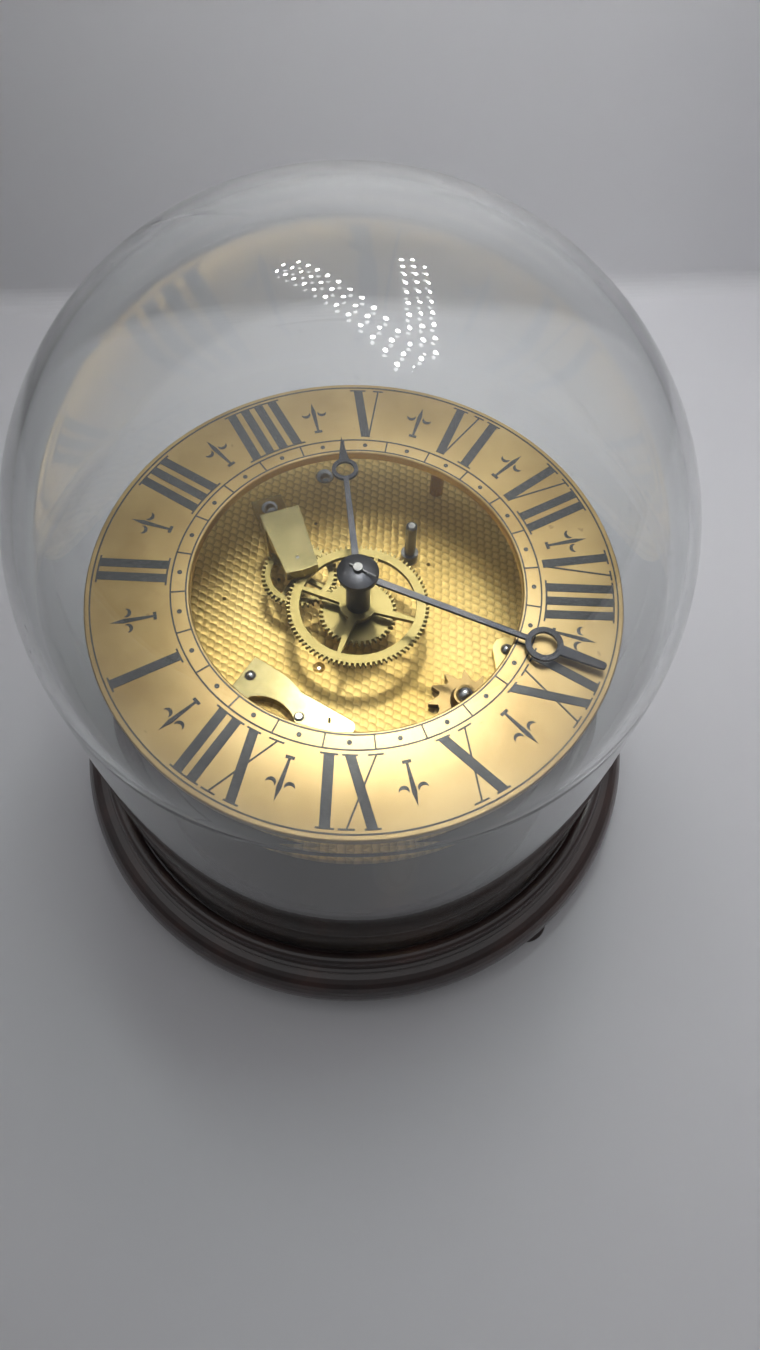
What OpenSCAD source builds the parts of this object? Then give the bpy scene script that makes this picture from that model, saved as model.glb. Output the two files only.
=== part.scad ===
// Table clock lying face up under a glass dome, millimetres, +Z up.
// The origin is on the table under the middle of the base, and XII points to +Y.
// Places on the dial and plates are polar: a radius and a clock angle, clockwise from XII.

/* [Time shown] */
// Hour shown by the hands
time_hour = 4; // [0:1:11]
// Minute shown by the hands
time_minute = 43.6; // [0:0.1:59.9]

/* [Wooden base] */
// Width of the base outside the glass
base_ledge = 14; // [13:0.5:19]
// Height of the turned base above its feet
base_h = 28; // [27:0.5:34]
// Radius of the bore through the base
base_bore_r = 62; // [56:0.5:62]
// Height of the large rounded moulding
torus_h = 20; // [19:0.5:21]
// Height of the small bead beside the glass
bead_h = 4.5; // [4:0.5:6]
// Width of the small bead
bead_w = 4.8; // [4:0.1:5.6]
// Depth of the rebate that the dome stands in
rebate_d = 4; // [3:0.5:6]
// Radius of the raised floor board
floor_r = 80.4; // [79:0.2:84]
// Thickness of the raised floor board
floor_t = 15; // [12:0.5:16]
// Thickness of the board let into the underside
bottom_t = 8; // [6:0.5:10]
// Radius of the hole for the winding key
key_hole_r = 9; // [8:0.5:11]
// Height of the bun feet
foot_h = 3; // [2.5:0.5:6]
// Radius of a bun foot
foot_r = 8; // [6:0.5:9]
// Distance of the feet's middles from the edge of the base
foot_inset = 7; // [7:0.5:13]
// Clock angle of the first of three feet
foot_cw = 288; // [270:1:300]

/* [Glass dome] */
// Gap between the chapter ring and the glass
dial_clear = 7.5; // [6:0.5:9]
// Thickness of the glass
dome_wall = 3; // [2:0.25:4]
// Height of the straight wall of the dome
dome_straight_h = 112.5; // [106:0.5:125]
// Gap between the glass and the wood beside it
dome_gap = 0.4; // [0.3:0.05:0.8]

/* [Chapter ring] */
// Radius of the open centre
aperture_r = 50.9; // [50:0.1:52]
// Thickness of the chapter ring
dial_t = 3; // [2:0.25:4]
// Height of the dial face above the table
dial_face_z = 119; // [117:0.5:124]
// Height of the wax figures above the brass
wax_t = 0.12; // [0.1:0.02:0.2]
// Width of the quarter-hour track
track_w = 4.6; // [4.2:0.1:4.8]
// Width of the engraved lines
line_w = 0.5; // [0.3:0.05:0.7]
// Outer end of the numerals
numeral_out_r = 79.2; // [77:0.1:82]
// Width of a thick numeral stroke
stroke_w = 3; // [2:0.1:3.4]
// Width of a thin numeral stroke
hair_w = 0.55; // [0.4:0.05:0.8]
// Distance between neighbouring strokes
stroke_pitch = 4.9; // [4.6:0.1:5.2]
// Radius of a chapter dot
dot_r = 0.75; // [0.5:0.05:1]
// Radius of a dial foot
dial_foot_r = 2.5; // [2:0.25:3]
// Radius of the circle of dial feet
dial_foot_ring_r = 67; // [64:0.5:68]
// Clock angle of the first dial foot
dial_foot_cw = 173; // [168:1:178]

/* [Hands] */
// Thickness of each hand
hand_t = 1; // [0.8:0.1:1.5]
// Gap between the dial face and the hour hand
hour_hand_gap = 0.6; // [0.4:0.1:1.5]
// Gap between the hands
hand_gap = 0.7; // [0.5:0.1:1.5]
// Length of the hour hand from the centre
hour_hand_l = 56.8; // [55:0.1:58]
// Radius at which the hour hand's ring sits
hour_ring_at = 42.8; // [40:0.1:44]
// Outer radius of the hour hand's ring
hour_ring_r = 4.3; // [3.5:0.1:5]
// Length of the minute hand from the centre
minute_hand_l = 79.3; // [77:0.1:80]
// Radius at which the minute hand's ring sits
minute_ring_at = 59.8; // [58:0.1:61]
// Outer radius of the minute hand's ring
minute_ring_r = 5.7; // [5:0.1:6.5]
// Radius of the domed collet
collet_r = 6.4; // [6:0.1:7.4]
// Height of the domed collet
collet_h = 2.4; // [2:0.1:3.5]

/* [Movement frame] */
// Radius of the spotted dial plate
plate_r = 76.5; // [76.5:0.5:79]
// Thickness of both plates
plate_t = 3; // [2.5:0.25:3.5]
// Depth of the dial plate below the dial face
plate_drop = 30.5; // [30:0.5:34]
// Distance between the plates
plate_gap = 25.5; // [25.5:0.5:27]
// Radius of the lower plate
lower_plate_r = 58; // [58:0.5:60]
// Radius of a supporting column
column_r = 7.8; // [6:0.1:8]
// Radius of the circle of columns
column_ring_r = 68.2; // [67.5:0.1:68.5]
// Clock angle of the first of four columns
column_cw = 47; // [45:1:49]
// Radius of a movement pillar
pillar_r = 4; // [3:0.25:4]
// Radius of the circle of movement pillars
pillar_ring_r = 51; // [50:0.5:52]
// Radius of the large screws' shanks
screw_r = 2; // [1.5:0.1:2.4]

/* [Motion work] */
// Distance from the centre to the minute-wheel arbor
motion_distance = 24.2; // [24:0.1:25]
// Clock angle of the minute-wheel arbor
motion_cw = 94.3; // [92:0.1:97]
// Teeth of the cannon wheel and of the minute wheel
cannon_teeth = 42; // [36:6:48]
// Teeth of the hour wheel
hour_teeth = 84; // [72:12:96]
// Leaves of the minute pinion
minute_leaves = 7; // [6:1:8]
// Depth of the hour wheel below the dial face
hour_wheel_drop = 15; // [14.5:0.25:17]
// Height of the hour wheel above the cannon wheel
motion_step = 4.5; // [4.2:0.1:6]
// Thickness of the cock over the minute wheel
cock_arm_t = 4.2; // [3.5:0.1:4.4]

/* [Going train] */
// Distance from the centre to the barrel arbor
barrel_distance = 44; // [43.5:0.1:45]
// Clock angle of the barrel arbor
barrel_cw = 277.5; // [275:0.5:280]
// Radius of the barrel drum
drum_r = 25; // [23:0.25:25]
// Height of the barrel drum
drum_h = 17; // [15:0.5:17]
// Teeth of the barrel
barrel_teeth = 84; // [80:2:86]
// Module of the barrel teeth
barrel_module = 0.65; // [0.6:0.01:0.66]
// Leaves of the intermediate pinion
inter_leaves = 12; // [12:1:14]
// Distance from the centre to the intermediate arbor
inter_distance = 20.5; // [20:0.1:21]
// Teeth of the intermediate wheel
inter_teeth = 60; // [54:6:66]
// Leaves of the centre pinion
centre_leaves = 10; // [9:1:11]
// Teeth of the centre wheel
centre_teeth = 80; // [72:8:88]
// Leaves of the third pinion
third_leaves = 8; // [8:1:9]
// Teeth of the third wheel
third_teeth = 60; // [54:6:60]
// Leaves of the fourth pinion
fourth_leaves = 12; // [12:1:13]
// Teeth of the fourth wheel
fourth_teeth = 96; // [84:12:96]
// Leaves of the escape pinion
escape_leaves = 10; // [10:1:12]
// Teeth of the escape wheel
escape_teeth = 15; // [13:1:17]
// Radius of the escape wheel
escape_r = 6; // [5.5:0.1:6.2]
// Thickness of the wheels
wheel_t = 1.5; // [1.2:0.1:1.6]
// Radius of the steel arbors
arbor_r = 1.2; // [1:0.05:1.3]
// Running clearance of every pivot
pivot_clear = 0.05; // [0.03:0.01:0.08]
// Radius of the balance wheel
balance_r = 12; // [10:0.25:12.5]

/* [Winding] */
// Teeth of the ratchet wheel
ratchet_teeth = 11; // [10:1:13]
// Tip radius of the ratchet wheel
ratchet_r = 11.4; // [10.5:0.1:12]
// Thickness of the ratchet wheel
ratchet_t = 2.6; // [2:0.1:3]
// Across the flats of the winding square
square_w = 5; // [4:0.25:5.5]

/* [Hidden] */

$fn = 96;
eps = 0.01;
brass = "#c9a24d";
pale_brass = "#d8bb74";
steel = "#8f959c";
blued = "#23252b";
wood = "#4a2a22";
wax = "#26282c";
glass = "#cfe3ea";

// Levels above the table
base_top = foot_h + base_h;
rebate_z = base_top - rebate_d;
floor_top = rebate_z + floor_t;
dial_back = dial_face_z - dial_t;
plate_top = dial_face_z - plate_drop;
plate_z = plate_top - plate_t;
lower_top = plate_z - plate_gap;
lower_z = lower_top - plate_t;
hour_hand_z = dial_face_z + hour_hand_gap;
minute_hand_z = hour_hand_z + hand_t + hand_gap;
collet_z = minute_hand_z + hand_t;
hour_wheel_z = dial_face_z - hour_wheel_drop;
cannon_wheel_z = hour_wheel_z - motion_step;
cock_top = hour_wheel_z + wheel_t + 0.8 + cock_arm_t;
pivot_r = 0.6;
fit_clear = 0.02;

// Circles of the dial, the dome and the base, from the inside out
track_in_r = aperture_r + 1;
track_out_r = track_in_r + track_w;
numeral_in_r = track_out_r + 1.5;
rim_line_r = numeral_out_r + 1.4;
dial_r = rim_line_r + 1.9;
dome_r = dial_r + dial_clear + dome_wall;
base_r = dome_r + base_ledge;
foot_ring_r = base_r - foot_inset;

// Clock angles of the hands
minute_cw = time_minute * 6;
hour_cw = (time_hour + time_minute / 60) * 30;

// A point at a radius and a clock angle
function polar(r, cw) = [r * sin(cw), r * cos(cw)];
// The plane angle of the line from one point to another
function heading(a, b) = atan2(b[1] - a[1], b[0] - a[0]);
// The point at distance p from a and q from b, on the right of the line from a to b
function joining(a, b, p, q) = let(d = norm(b - a),
    c = acos((p * p + d * d - q * q) / (2 * p * d)),
    h = heading(a, b) - c) a + p * [cos(h), sin(h)];

// Wheels and pinions, with teeth that keep a little backlash
function module_of(distance, n1, n2) = 2 * distance / (n1 + n2);
function pitch_r(n, m) = n * m / 2;
wheel_add = 0.95;
wheel_ded = 1.3;
leaf_add = 0.75;
leaf_ded = 1.45;

centre = [0, 0];
motion_at = polar(motion_distance, motion_cw);
cannon_m = module_of(motion_distance, cannon_teeth, cannon_teeth);
hour_m = module_of(motion_distance, hour_teeth, minute_leaves);
barrel_at = polar(barrel_distance, barrel_cw);
inter_m = module_of(inter_distance, inter_teeth, centre_leaves);
barrel_mesh = (barrel_teeth + inter_leaves) * barrel_module / 2;
inter_at = joining(barrel_at, centre, barrel_mesh, inter_distance);
third_at = [3.4, 18.7];
fourth_at = [21.3, 9.3];
centre_m = module_of(norm(third_at), centre_teeth, third_leaves);
third_m = module_of(norm(fourth_at - third_at), third_teeth, fourth_leaves);
escape_at = fourth_at + 18 * [cos(-43), sin(-43)];
fourth_m = module_of(norm(escape_at - fourth_at), fourth_teeth, escape_leaves);
escape_heading = -84.3;
lever_at = escape_at + 10.5 * [cos(escape_heading), sin(escape_heading)];
balance_at = escape_at + 27 * [cos(escape_heading), sin(escape_heading)];

// Levels of the train between the plates
barrel_tooth_z = lower_top + 2.2;
escape_wheel_z = lower_top + 2.2;
fourth_wheel_z = lower_top + 5.8;
centre_wheel_z = lower_top + 11;
third_wheel_z = lower_top + 16.2;
inter_wheel_z = lower_top + 22;
train_arbors = [inter_at, third_at, fourth_at, escape_at, lever_at, balance_at];

// Pillars and columns
pillar_cws = [350, 62, 175, 218];
pillar_tenon = 2;
cannon_pipe_r = 2.9;
hour_pipe_r = 3.8;
centre_r = 1.5;
barrel_arbor_r = 3;
barrel_core_r = 7;

module at(p, z = 0) {
    translate([p[0], p[1], z]) children();
}

module rod(r, h) {
    cylinder(r = r, h = h);
}

module tube(ro, ri, h) {
    difference() {
        cylinder(r = ro, h = h);
        translate([0, 0, -1]) cylinder(r = ri, h = h + 2);
    }
}

// A screw head with a slot, its shank below z = 0
module slot_screw(shank_r, shank_l, head_r, head_h) {
    slot_w = head_r * 0.3;
    difference() {
        union() {
            cylinder(r = head_r, h = head_h);
            translate([0, 0, -shank_l]) cylinder(r = shank_r, h = shank_l + eps);
        }
        translate([-head_r - 1, -slot_w / 2, head_h * 0.6]) cube([2 * head_r + 2, slot_w, head_h]);
    }
}

// A polished screw with a round head, its shank below z = 0
module domed_screw(shank_r, shank_l, head_r, head_h) {
    ball_r = (head_r * head_r + head_h * head_h) / (2 * head_h);
    translate([0, 0, -shank_l]) cylinder(r = shank_r, h = shank_l + eps);
    rotate_extrude() intersection() {
        translate([0, head_h - ball_r]) circle(r = ball_r);
        square([head_r, head_h]);
    }
}

// Outline of a toothed wheel whose first tooth points along +X
module tooth_outline(n, m, add, ded, root_w, pitch_w, tip_w) {
    step = 360 / n;
    rp = pitch_r(n, m);
    rows = [[rp - ded * m, -root_w], [rp, -pitch_w], [rp + add * m, -tip_w],
        [rp + add * m, tip_w], [rp, pitch_w], [rp - ded * m, root_w]];
    polygon([for (i = [0:n - 1]) for (row = rows)
        let(a = (i + row[1]) * step) row[0] * [cos(a), sin(a)]]);
}

module wheel_teeth(n, m) {
    tooth_outline(n, m, wheel_add, wheel_ded, 0.24, 0.205, 0.09);
}

module leaf_teeth(n, m) {
    tooth_outline(n, m, leaf_add, leaf_ded, 0.15, 0.155, 0.07);
}

// A wheel with tapered crossings, and an arbor hole in its hub
module crossed_wheel(n, m, turn, spokes, rim, hub_r, bore_r, t, spoke_turn = 0) {
    inner_r = pitch_r(n, m) - wheel_ded * m - rim;
    spoke_root = hub_r * 0.3;
    spoke_end = 0.55;
    rotate(turn) linear_extrude(t) difference() {
        wheel_teeth(n, m);
        circle(r = bore_r);
        difference() {
            circle(r = inner_r);
            circle(r = hub_r);
            for (i = [0:spokes - 1]) rotate(spoke_turn + i * 360 / spokes) polygon([[0, -spoke_root],
                [inner_r + rim / 2, -spoke_end], [inner_r + rim / 2, spoke_end], [0, spoke_root]]);
        }
    }
}

// A steel arbor with a pivot at each end and a pinion cut in it
module pinion_arbor(n, m, turn, leaf_z, leaf_h) {
    shoulder = 0.5;
    translate([0, 0, lower_z + 0.4]) rod(pivot_r, plate_z + plate_t - lower_z - 0.8);
    translate([0, 0, lower_top + shoulder]) rod(arbor_r, plate_gap - 2 * shoulder);
    translate([0, 0, leaf_z]) rotate(turn) linear_extrude(leaf_h) leaf_teeth(n, m);
}

// Case
module base_profile() {
    glass_side = dome_r + dome_gap;
    bead_out = glass_side + bead_w;
    torus_top = foot_h + torus_h;
    torus_in = bead_out + 1.6;
    foot_in = base_r - 3;
    half_h = torus_h / 2 - 0.5;
    bulge = [for (i = [0:12]) let(a = 90 - i * 13) [torus_in + (base_r - torus_in) * cos(a),
        torus_top - half_h + half_h * sin(a)]];
    crown = [for (i = [0:8]) let(a = 180 - i * 22.5) [glass_side + bead_w / 2 * (1 + cos(a)),
        base_top - bead_h / 2 + bead_h / 2 * sin(a)]];
    polygon(concat([[base_bore_r, foot_h + bottom_t], [base_bore_r, rebate_z],
        [glass_side, rebate_z]], crown,
        [[bead_out, torus_top + 1.8], [bead_out - 0.8, torus_top + 1], [torus_in - 0.6, torus_top + 0.7],
        [torus_in - 0.6, torus_top]], bulge,
        [[foot_in - 0.5, foot_h], [base_bore_r + 4, foot_h],
        [base_bore_r + 4, foot_h + bottom_t]]));
}

module base_moulding() {
    color(wood) difference() {
        rotate_extrude($fn = 180) base_profile();
        for (i = [0:2]) at(polar(foot_ring_r, foot_cw + i * 120), foot_h - 1) rod(screw_r + 0.05, 9);
    }
}

module floor_board() {
    color(wood) at(centre, rebate_z) difference() {
        rotate_extrude($fn = 180) polygon([[0, 0], [floor_r, 0], [floor_r, floor_t - 1],
            [floor_r - 1, floor_t], [0, floor_t]]);
        at(barrel_at, -1) rod(key_hole_r, floor_t + 2);
        for (i = [0:3]) at(polar(column_ring_r, column_cw + i * 90), -1) rod(screw_r + 0.05, floor_t + 2);
    }
}

module bottom_board() {
    color(wood) at(centre, foot_h) difference() {
        rod(base_bore_r + 3.7, bottom_t);
        at(barrel_at, -1) rod(key_hole_r, bottom_t + 2);
    }
}

module bun_feet() {
    spigot_h = 6;
    color(wood) for (i = [0:2]) at(polar(foot_ring_r, foot_cw + i * 120)) union() {
        rotate_extrude($fn = 48) polygon(concat([[0, 0], [foot_r * 0.7, 0]],
            [for (k = [1:6]) [foot_r * (0.7 + 0.3 * sin(k * 15)), foot_h / 2 * (1 - cos(k * 15))]],
            [for (k = [1:6]) [foot_r * (0.7 + 0.3 * cos(k * 15)), foot_h / 2 * (1 + sin(k * 15))]],
            [[0, foot_h]]));
        translate([0, 0, foot_h - eps]) rod(screw_r, spigot_h);
    }
}

module glass_dome() {
    inner_r = dome_r - dome_wall;
    lip = 0.8;
    color(glass, 0.35) at(centre, rebate_z) rotate_extrude($fn = 180) difference() {
        union() {
            translate([0, lip]) square([dome_r, dome_straight_h - lip]);
            square([dome_r - lip, dome_straight_h]);
            translate([dome_r - lip, lip]) circle(r = lip, $fn = 24);
            intersection() {
                translate([0, dome_straight_h]) circle(r = dome_r, $fn = 180);
                translate([0, dome_straight_h]) square([dome_r, dome_r]);
            }
        }
        translate([-1, -1]) square([inner_r + 1, dome_straight_h + 1]);
        translate([0, dome_straight_h]) circle(r = inner_r, $fn = 180);
        translate([-dome_r, 0]) square([dome_r, dome_straight_h + dome_r]);
    }
}

// Movement frame
module support_columns() {
    hole_l = 9;
    height = plate_z - floor_top;
    color(brass) for (i = [0:3]) at(polar(column_ring_r, column_cw + i * 90), floor_top) difference() {
        rotate_extrude($fn = 64) polygon([[0, 0], [column_r - 0.6, 0], [column_r, 0.6],
            [column_r, height - 0.6], [column_r - 0.6, height], [0, height]]);
        translate([0, 0, -1]) rod(screw_r + 0.05, hole_l + 1);
        translate([0, 0, height - hole_l]) rod(screw_r + 0.05, hole_l + 1);
    }
}

module column_screws() {
    head_r = 3.4;
    color(steel) for (i = [0:3]) at(polar(column_ring_r, column_cw + i * 90)) union() {
        translate([0, 0, plate_top]) rotate(30 * i) domed_screw(screw_r, plate_t + 7, head_r, 2.2);
        translate([0, 0, rebate_z]) rod(screw_r, floor_t + 7);
    }
}

module dial_plate() {
    sink_r = 2.1;
    sink_h = 1.3;
    color(pale_brass) at(centre, plate_z) difference() {
        rod(plate_r, plate_t, $fn = 180);
        at(centre, -1) rod(cannon_pipe_r + 0.3, plate_t + 2);
        at(barrel_at, -1) rod(barrel_arbor_r + pivot_clear, plate_t + 2);
        for (p = train_arbors) {
            at(p, -1) rod(pivot_r + pivot_clear, plate_t + 2);
        }
        for (p = [third_at, inter_at, fourth_at, escape_at]) {
            at(p, plate_t - sink_h) cylinder(r1 = 0.8, r2 = sink_r, h = sink_h + eps);
        }
        at(motion_at, -1) rod(pivot_r + pivot_clear, plate_t + 2);
        for (i = [0:3]) {
            at(polar(column_ring_r, column_cw + i * 90), -1) rod(screw_r + 0.05, plate_t + 2);
            at(polar(dial_foot_ring_r, dial_foot_cw + i * 90), -1)
                rod(dial_foot_r * 0.6 + 0.05, plate_t + 2);
        }
        for (cw = pillar_cws) at(polar(pillar_ring_r, cw), -1) rod(screw_r + 0.05, pillar_tenon + 1.1);
        for (p = [[45.3, 13.8], [-6.1, -36.4]]) at(p, -1) rod(0.7, plate_t + 2);
        at(cock_screw_at, 0.8) rod(1.5 + 0.05, plate_t);
        at(post_at, 0.8) rod(1.3 + 0.05, plate_t);
        at(bridge_screw_at, 0.8) rod(1 + 0.05, plate_t);
        at(click_at, 0.8) rod(1.5 + 0.05, plate_t);
        at(stud_at, 0.8) rod(0.8 + 0.05, plate_t);
    }
}

module lower_plate() {
    color(brass) at(centre, lower_z) difference() {
        rod(lower_plate_r, plate_t, $fn = 180);
        at(centre, -1) rod(pivot_r + pivot_clear, plate_t + 2);
        at(barrel_at, -1) rod(barrel_arbor_r + pivot_clear, plate_t + 2);
        for (p = train_arbors) at(p, -1) rod(pivot_r + pivot_clear, plate_t + 2);
        for (cw = pillar_cws) at(polar(pillar_ring_r, cw), -1) rod(screw_r + 0.05, plate_t + 2);
    }
}

module movement_pillars() {
    color(brass) for (cw = pillar_cws) at(polar(pillar_ring_r, cw), lower_top) difference() {
        union() {
            rotate_extrude($fn = 48) polygon([[0, 0], [pillar_r, 0], [pillar_r, 2], [pillar_r * 0.72, 4],
                [pillar_r * 0.72, plate_gap - 4], [pillar_r, plate_gap - 2], [pillar_r, plate_gap],
                [0, plate_gap]]);
            rod(screw_r, plate_gap + pillar_tenon);
        }
        translate([0, 0, -1]) rod(screw_r * 0.8 + 0.05, 9);
    }
}

module pillar_screws() {
    grip = 6;
    color(steel) for (cw = pillar_cws) at(polar(pillar_ring_r, cw), lower_z) mirror([0, 0, 1])
        slot_screw(screw_r * 0.8, plate_t + grip, 3.2, 1.8);
}

// Chapter ring
module chapter_ring() {
    edge = 0.4;
    color(pale_brass) at(centre, dial_back) rotate_extrude($fn = 240) polygon([[aperture_r, 0],
        [dial_r, 0], [dial_r, dial_t - edge], [dial_r - edge, dial_t], [aperture_r + edge, dial_t],
        [aperture_r, dial_t - edge]]);
}

module dial_feet() {
    spigot_r = dial_foot_r * 0.6;
    drop = 4;
    color(brass) for (i = [0:3]) at(polar(dial_foot_ring_r, dial_foot_cw + i * 90)) difference() {
        union() {
            translate([0, 0, plate_top]) rod(dial_foot_r, dial_back - plate_top);
            translate([0, 0, plate_z - drop]) rod(spigot_r, drop + plate_t + 1);
        }
        translate([-5, 0, plate_z - 0.6]) rotate([0, 90, 0]) rod(0.55, 10);
    }
}

module dial_foot_pins() {
    color(steel) for (i = [0:3]) at(polar(dial_foot_ring_r, dial_foot_cw + i * 90), plate_z - 0.6)
        translate([-4, 0, 0]) rotate([0, 90, 0]) cylinder(r1 = 0.5, r2 = 0.35, h = 8);
}

// Wax in the engraving. Figures are drawn with their tops outwards.
// A ring between two radii
module band(inner, outer) {
    difference() {
        circle(r = outer, $fn = 180);
        circle(r = inner, $fn = 180);
    }
}

// A stroke across the numeral band, at a sideways offset at each end
module stroke(x_in, x_out, w) {
    lead = (x_out - x_in) / (numeral_out_r - numeral_in_r) * 3;
    intersection() {
        band(numeral_in_r, numeral_out_r);
        polygon([[x_in - lead - w / 2, numeral_in_r - 3], [x_in - lead + w / 2, numeral_in_r - 3],
            [x_out + lead + w / 2, numeral_out_r + 3], [x_out + lead - w / 2, numeral_out_r + 3]]);
    }
}

module serif(x, w, r) {
    intersection() {
        band(r - hair_w / 2, r + hair_w / 2);
        translate([x - w / 2, numeral_in_r - 6]) square([w, numeral_out_r - numeral_in_r + 12]);
    }
}

module numeral_i(x) {
    stroke(x, x, stroke_w);
}

module numeral_v(x) {
    lean = stroke_pitch * 0.72;
    stroke(x, x - lean, stroke_w);
    stroke(x + stroke_w * 0.35, x + lean, hair_w);
    serif(x - lean, stroke_w * 1.8, numeral_out_r);
    serif(x + lean, stroke_w * 1.2, numeral_out_r);
}

module numeral_x(x) {
    lean = stroke_pitch * 0.72;
    stroke(x + lean, x - lean, stroke_w);
    stroke(x - lean, x + lean, hair_w);
    for (r = [numeral_in_r, numeral_out_r]) {
        serif(x - lean, stroke_w * 1.5, r);
        serif(x + lean, stroke_w * 1.5, r);
    }
}

// Each figure is a list of strokes: how far along, in pitches, and its kind
numerals = [
    [[0, "i"]],
    [[-0.5, "i"], [0.5, "i"]],
    [[-1, "i"], [0, "i"], [1, "i"]],
    [[-1.5, "i"], [-0.5, "i"], [0.5, "i"], [1.5, "i"]],
    [[0, "v"]],
    [[-0.9, "v"], [1, "i"]],
    [[-1.3, "v"], [0.5, "i"], [1.5, "i"]],
    [[-1.8, "v"], [0, "i"], [1, "i"], [2, "i"]],
    [[-1.1, "i"], [0.8, "x"]],
    [[0, "x"]],
    [[-0.8, "x"], [1.1, "i"]],
    [[-1.3, "x"], [0.6, "i"], [1.6, "i"]]];

module wax_numerals() {
    color(wax) at(centre, dial_face_z) for (h = [1:12]) rotate(-30 * h) linear_extrude(wax_t) union() {
        figure = numerals[h - 1];
        for (part = figure) {
            x = part[0] * stroke_pitch;
            if (part[1] == "i") numeral_i(x);
            if (part[1] == "v") numeral_v(x);
            if (part[1] == "x") numeral_x(x);
        }
        uprights = [for (part = figure) if (part[1] == "i") part[0] * stroke_pitch];
        if (len(uprights) > 0) {
            span = max(uprights) - min(uprights) + stroke_w * 1.7;
            mid = (max(uprights) + min(uprights)) / 2;
            serif(mid, span, numeral_in_r);
            serif(mid, span, numeral_out_r);
        }
    }
}

// A half-hour mark: a stem with a foot and two hooks
module half_hour_mark() {
    foot = numeral_in_r + 3.4;
    tip = numeral_out_r - 4.6;
    hook_at = tip - 5;
    polygon([[-0.35, foot], [0.35, foot], [0.75, tip - 4], [0, tip], [-0.75, tip - 4]]);
    translate([-1.3, foot - 0.5]) square([2.6, 1]);
    for (side = [-1, 1]) translate([side * 2.7, hook_at]) difference() {
        circle(r = 1.5, $fn = 32);
        translate([side * 0.25, 1.1]) circle(r = 1.55, $fn = 32);
    }
}

module wax_tracks() {
    dot_ring_r = (track_in_r + track_out_r) / 2;
    color(wax) at(centre, dial_face_z) linear_extrude(wax_t) union() {
        for (r = [track_in_r, track_out_r, rim_line_r]) band(r - line_w / 2, r + line_w / 2);
        for (i = [0:23]) {
            rotate(i * 15) translate([0, dot_ring_r]) circle(r = dot_r, $fn = 24);
            rotate(i * 15 + 7.5) translate([-line_w / 2, track_in_r])
                square([line_w, track_out_r - track_in_r]);
        }
        for (h = [0:11]) rotate(h * 30 + 15) half_hour_mark();
    }
}

// Hands
module hour_hand() {
    hub_r = 5;
    color(blued) at(centre, hour_hand_z) rotate(-hour_cw) linear_extrude(hand_t) difference() {
        union() {
            circle(r = hub_r);
            polygon([[-1.15, 0], [1.15, 0], [0.85, hour_ring_at - hour_ring_r + 0.5],
                [-0.85, hour_ring_at - hour_ring_r + 0.5]]);
            translate([0, hour_ring_at]) circle(r = hour_ring_r);
            polygon([[-1.75, hour_ring_at + hour_ring_r - 0.6], [1.75, hour_ring_at + hour_ring_r - 0.6],
                [0, hour_hand_l]]);
        }
        translate([0, hour_ring_at]) circle(r = hour_ring_r - 1.3);
        circle(r = cannon_pipe_r + pivot_clear);
    }
}

module minute_hand() {
    hub_r = 6.2;
    tip_w = 2.4;
    color(blued) at(centre, minute_hand_z) rotate(-minute_cw) linear_extrude(hand_t) difference() {
        union() {
            circle(r = hub_r);
            polygon([[-1.1, 0], [1.1, 0], [0.8, minute_ring_at - minute_ring_r + 0.6],
                [-0.8, minute_ring_at - minute_ring_r + 0.6]]);
            translate([0, minute_ring_at]) circle(r = minute_ring_r);
            polygon([[-1.7, minute_ring_at + minute_ring_r - 0.8],
                [1.7, minute_ring_at + minute_ring_r - 0.8],
                [tip_w / 2, minute_hand_l - tip_w / 2], [-tip_w / 2, minute_hand_l - tip_w / 2]]);
            translate([0, minute_hand_l - tip_w / 2]) circle(r = tip_w / 2);
        }
        translate([0, minute_ring_at]) circle(r = minute_ring_r - 1.8);
        circle(r = centre_r + fit_clear);
    }
}

module hand_collet() {
    rim_h = 1;
    cap_h = collet_h - rim_h;
    ball_r = (collet_r * collet_r + cap_h * cap_h) / (2 * cap_h);
    color(blued) at(centre, collet_z) difference() {
        rotate_extrude() intersection() {
            union() {
                square([collet_r, rim_h]);
                translate([0, collet_h - ball_r]) circle(r = ball_r, $fn = 180);
            }
            square([collet_r, collet_h]);
        }
        at(centre, -1) rod(centre_r + fit_clear, collet_h + 2);
    }
}

// The pin lies across the arbor, just above the collet
pin_z = collet_z + collet_h + 0.45;
pin_turn = -minute_cw - 5;

module taper_pin() {
    color(steel) at(centre, pin_z) rotate(pin_turn) translate([0, -3, 0]) rotate([-90, 0, 0])
        cylinder(r1 = 0.4, r2 = 0.25, h = 9);
}

// Motion work
module cannon_wheel() {
    turn = heading(centre, motion_at);
    foot_z = plate_top + 0.4;
    foot_r = 4.6;
    color(brass) union() {
        at(centre, cannon_wheel_z) linear_extrude(wheel_t) difference() {
            rotate(turn) wheel_teeth(cannon_teeth, cannon_m);
            circle(r = centre_r + fit_clear);
        }
        at(centre, foot_z) tube(foot_r, centre_r + fit_clear, cannon_wheel_z - foot_z + eps);
        at(centre, cannon_wheel_z + wheel_t - eps) tube(cannon_pipe_r, centre_r + fit_clear,
            minute_hand_z - cannon_wheel_z - wheel_t + eps);
    }
}

module hour_pipe() {
    foot_z = hour_wheel_z - 2.2;
    color(blued) at(centre, foot_z) tube(hour_pipe_r, cannon_pipe_r + pivot_clear, hour_hand_z - foot_z);
}

module hour_wheel() {
    turn = heading(centre, motion_at);
    color(brass) at(centre, hour_wheel_z) union() {
        crossed_wheel(hour_teeth, hour_m, turn, 4, 2.9, 6, hour_pipe_r + fit_clear, wheel_t, 14 - turn);
        translate([0, 0, -1.6]) tube(5.4, hour_pipe_r + fit_clear, 1.6 + eps);
    }
}

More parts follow.
